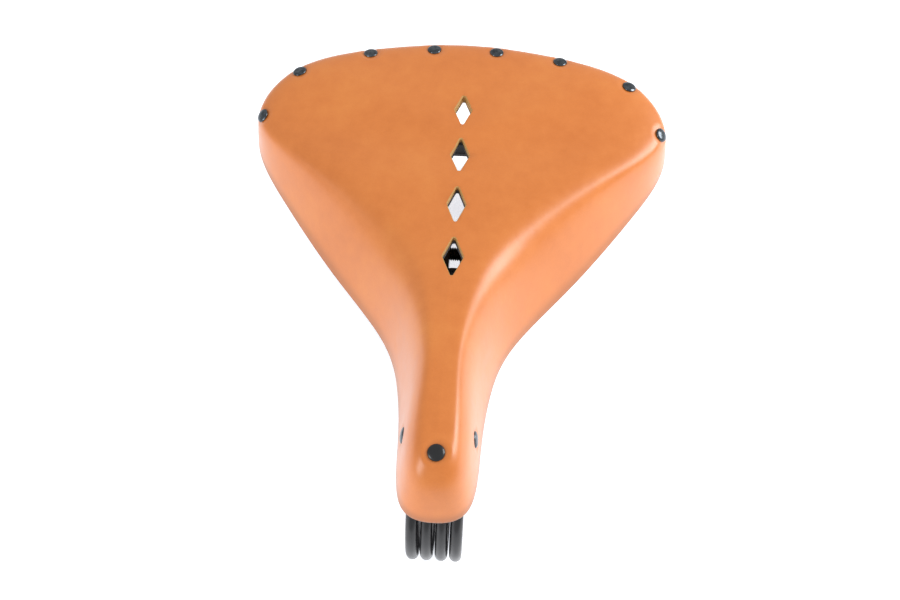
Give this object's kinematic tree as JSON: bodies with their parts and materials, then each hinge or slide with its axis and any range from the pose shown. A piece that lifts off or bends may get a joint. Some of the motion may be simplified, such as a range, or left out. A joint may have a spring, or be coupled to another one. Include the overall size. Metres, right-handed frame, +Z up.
{
  "type": "bicycle saddle",
  "caption": "Sprung leather bicycle saddle: riveted leather top with lozenge slots, wire frame with front loops, rear coil springs, and a tilting, sliding seat-post clamp.",
  "frame": {"origin": "centre of the saddle's plan outline, on the plane that its front loops and rear bolt heads rest on", "axes": "+X the rider's right, +Y the rear, +Z up"},
  "size_m": [0.236, 0.2894, 0.1063],
  "materials": {
    "honey_leather": "satin, smooth grain, honey tan",
    "black_enamel": "black enamel, satin",
    "blued_rivet": "blued steel, polished domes",
    "zinc_plate": "zinc plate, satin"
  },
  "bodies": {
    "undercarriage": {"wire_outer_left": "black_enamel", "wire_outer_right": "black_enamel", "wire_inner_left": "black_enamel", "wire_inner_right": "black_enamel", "wire_keeper_left": "black_enamel", "wire_keeper_right": "black_enamel", "spring_bottom_bolt_left": "zinc_plate", "spring_bottom_bolt_right": "zinc_plate", "spring_bottom_washer_left": "zinc_plate", "spring_bottom_washer_right": "zinc_plate", "spring_bottom_seat_left": "black_enamel", "spring_bottom_seat_right": "black_enamel", "spring_bottom_nut_left": "zinc_plate", "spring_bottom_nut_right": "zinc_plate", "rear_spring_left": "black_enamel", "rear_spring_right": "black_enamel", "rear_bridge": "black_enamel"},
    "seat": {"leather_top": "honey_leather", "cantle_plate": "black_enamel", "wire_shackle": "black_enamel", "rear_rivet_1": "blued_rivet", "rear_rivet_2": "blued_rivet", "rear_rivet_3": "blued_rivet", "rear_rivet_4": "blued_rivet", "rear_rivet_5": "blued_rivet", "rear_rivet_6": "blued_rivet", "rear_rivet_7": "blued_rivet", "rear_rivet_8": "blued_rivet", "spring_top_seat_left": "black_enamel", "spring_top_seat_right": "black_enamel", "spring_top_bolt_left": "zinc_plate", "spring_top_bolt_right": "zinc_plate", "spring_top_nut_left": "zinc_plate", "spring_top_nut_right": "zinc_plate"},
    "nose": {"nose_plate": "black_enamel", "tension_bolt": "zinc_plate", "nose_rivet_top": "blued_rivet", "nose_rivet_left": "blued_rivet", "nose_rivet_right": "blued_rivet"},
    "tension_nut": {"tension_nut": "zinc_plate"},
    "clamp_carriage": {"clamp_stud": "black_enamel", "clamp_serrated_disc_left": "black_enamel", "clamp_serrated_disc_right": "black_enamel", "clamp_inner_cheek_left": "black_enamel", "clamp_inner_cheek_right": "black_enamel", "clamp_outer_cheek_left": "black_enamel", "clamp_outer_cheek_right": "black_enamel", "clamp_washer_left": "zinc_plate", "clamp_washer_right": "zinc_plate"},
    "clamp_collar": {"clamp_collar": "black_enamel", "post_sleeve": "black_enamel"},
    "clamp_nut_left": {"clamp_nut_left": "zinc_plate"},
    "clamp_nut_right": {"clamp_nut_right": "zinc_plate"}
  },
  "joints": [
    {"name": "seat_flex", "type": "hinge", "parent": "undercarriage", "child": "seat", "pos_m": [0, -0.1144, 0.03], "axis": [1, 0, 0], "range_deg": [-5, 0], "stiffness_Nm_per_rad": 1200, "deforming": ["rear_spring_left", "rear_spring_right", "wire_outer_left", "wire_outer_right", "wire_inner_left", "wire_inner_right"]},
    {"name": "tension_nut_turn", "type": "hinge", "parent": "seat", "child": "tension_nut", "pos_m": [0, -0.0873, 0.074], "axis": [0, 1, 0], "range_deg": [0, 1728]},
    {"name": "nose_tension", "type": "slide", "parent": "seat", "child": "nose", "axis": [0, -1, 0], "range_m": [0, 0.006], "deforming": ["leather_top"]},
    {"name": "clamp_slide", "type": "slide", "parent": "undercarriage", "child": "clamp_carriage", "axis": [0, 1, 0], "range_m": [-0.01, 0.01]},
    {"name": "clamp_tilt", "type": "hinge", "parent": "clamp_carriage", "child": "clamp_collar", "pos_m": [0, 0.04, 0.028], "axis": [1, 0, 0], "range_deg": [-20, 20]},
    {"name": "clamp_nut_left_turn", "type": "hinge", "parent": "clamp_carriage", "child": "clamp_nut_left", "pos_m": [-0.036, 0.04, 0.028], "axis": [1, 0, 0], "continuous": true},
    {"name": "clamp_nut_right_turn", "type": "hinge", "parent": "clamp_carriage", "child": "clamp_nut_right", "pos_m": [0.036, 0.04, 0.028], "axis": [1, 0, 0], "continuous": true}
  ],
  "couplings": [
    {"joint": "tension_nut_turn", "follows": "nose_tension", "rad_per_m": 5026.5}
  ]
}
